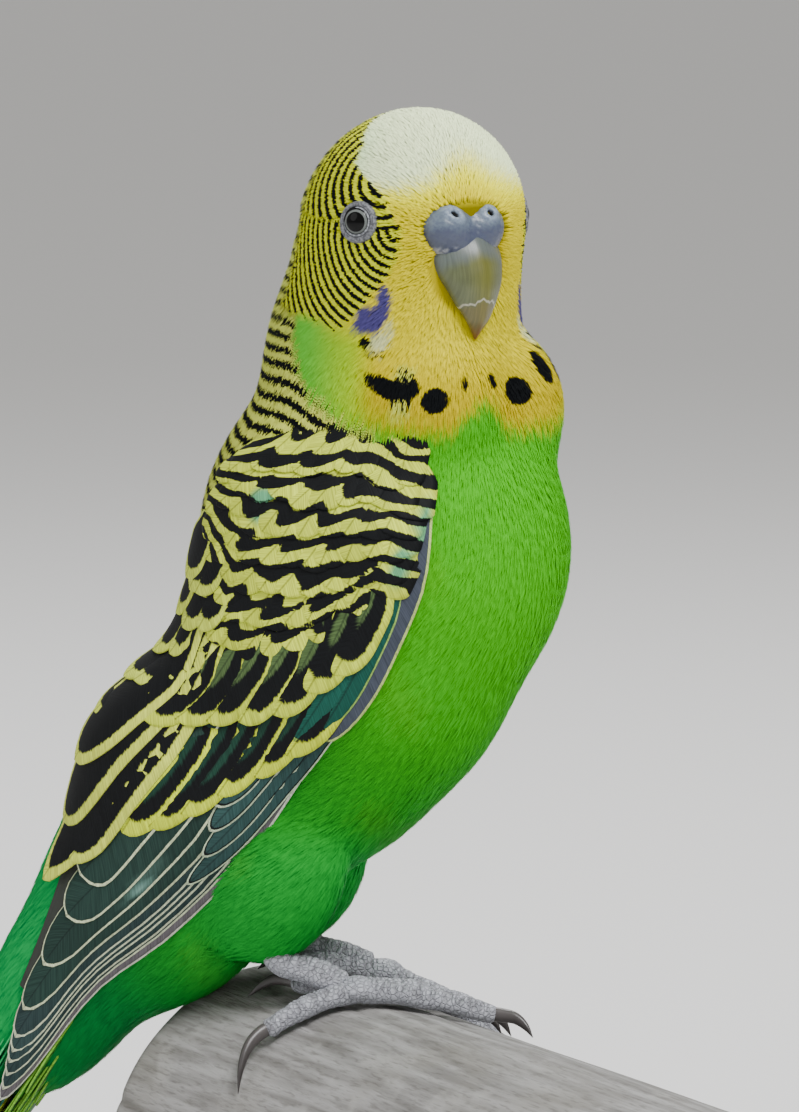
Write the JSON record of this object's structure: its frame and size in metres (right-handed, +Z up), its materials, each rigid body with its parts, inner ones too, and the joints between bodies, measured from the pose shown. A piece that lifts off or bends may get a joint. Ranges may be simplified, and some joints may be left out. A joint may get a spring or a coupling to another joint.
{
  "type": "budgerigar",
  "caption": "Life-size still model of a perched budgerigar, head turned to its right, gripping a short cut length of branch on a round display stand.",
  "frame": {"origin": "middle of the underside of the round stand", "axes": "+X the way the bird's body faces, +Y the bird's left side, +Z up"},
  "size_m": [0.153, 0.124, 0.1913],
  "materials": {
    "head_feathers": "matt",
    "body_feathers": "silky",
    "wing_feathers": "silky",
    "tail_feathers": "silky",
    "cere": "satin",
    "bill_horn": "satin",
    "eye": "wet gloss",
    "leg_skin": "scaly matt",
    "branch_wood": "weathered",
    "stand": "painted satin",
    "rod": "brushed"
  },
  "bodies": {
    "root": {"head": "head_feathers", "cere": "cere", "beak_upper": "bill_horn", "beak_lower": "bill_horn", "eye_left": "eye", "eye_right": "eye", "neck": "head_feathers", "torso": "body_feathers", "tail": "tail_feathers", "wing_left": "wing_feathers", "wing_right": "wing_feathers", "thigh_left": "body_feathers", "thigh_right": "body_feathers", "leg_left": "leg_skin", "leg_right": "leg_skin", "foot_left": "leg_skin", "foot_right": "leg_skin", "perch": "branch_wood", "stand_base": "stand", "stand_rod_1": "rod", "stand_rod_2": "rod"}
  },
  "joints": []
}
